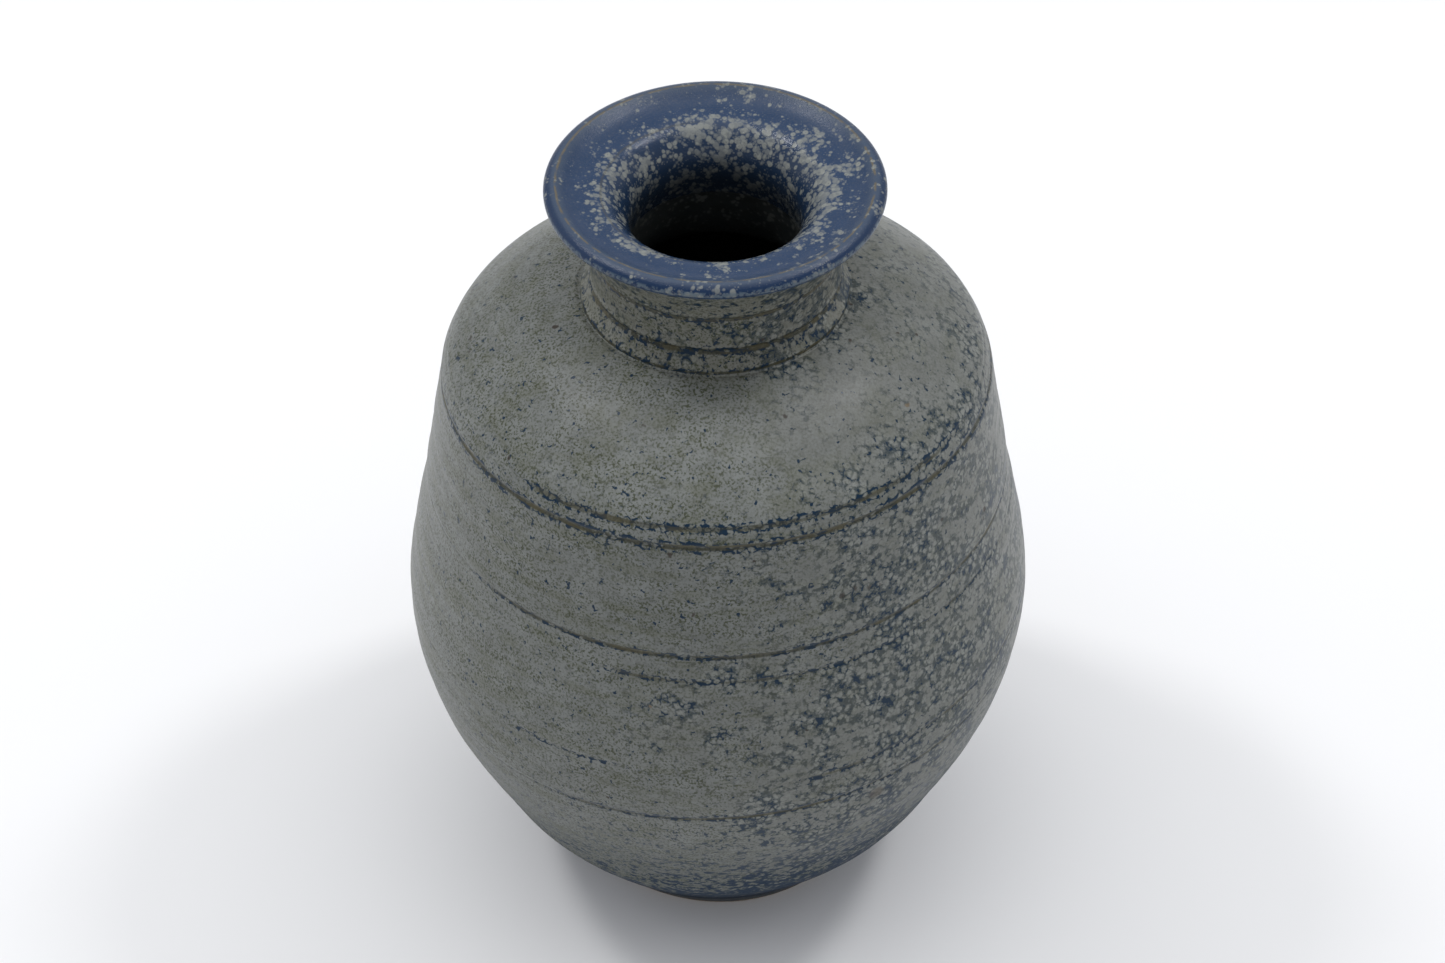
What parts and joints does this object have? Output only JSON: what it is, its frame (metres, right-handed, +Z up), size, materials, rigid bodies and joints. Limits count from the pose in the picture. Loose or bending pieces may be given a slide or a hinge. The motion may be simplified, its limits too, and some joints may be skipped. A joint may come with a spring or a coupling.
{
  "type": "stoneware vase",
  "caption": "Wheel-thrown stoneware vase with a domed shoulder, short waisted neck and flared dished collar, for holding stems or standing as an ornament.",
  "frame": {"origin": "centre of the foot, on the surface that the vase stands on", "axes": "+Z up along the axis of the wheel; the pot is round about +Z, and -Y is its front"},
  "size_m": [0.1338, 0.1338, 0.18],
  "materials": {
    "bare_clay": "unglazed fired stoneware, buff brown, dry and slightly gritty",
    "grey_glaze": "satin grey glaze with olive specks, pale cells and cobalt blue between them",
    "blue_glaze": "satin cobalt blue glaze with pale grey crystals and a tan line where it breaks at the lip",
    "liner_glaze": "dark grey satin liner glaze"
  },
  "bodies": {
    "root": {"foot_ring": "bare_clay", "base_floor": "bare_clay", "belly_wall": "bare_clay", "shoulder": "bare_clay", "neck": "bare_clay", "collar": "bare_clay", "outer_glaze": "grey_glaze", "collar_glaze": "blue_glaze", "inner_glaze": "liner_glaze"}
  },
  "joints": []
}
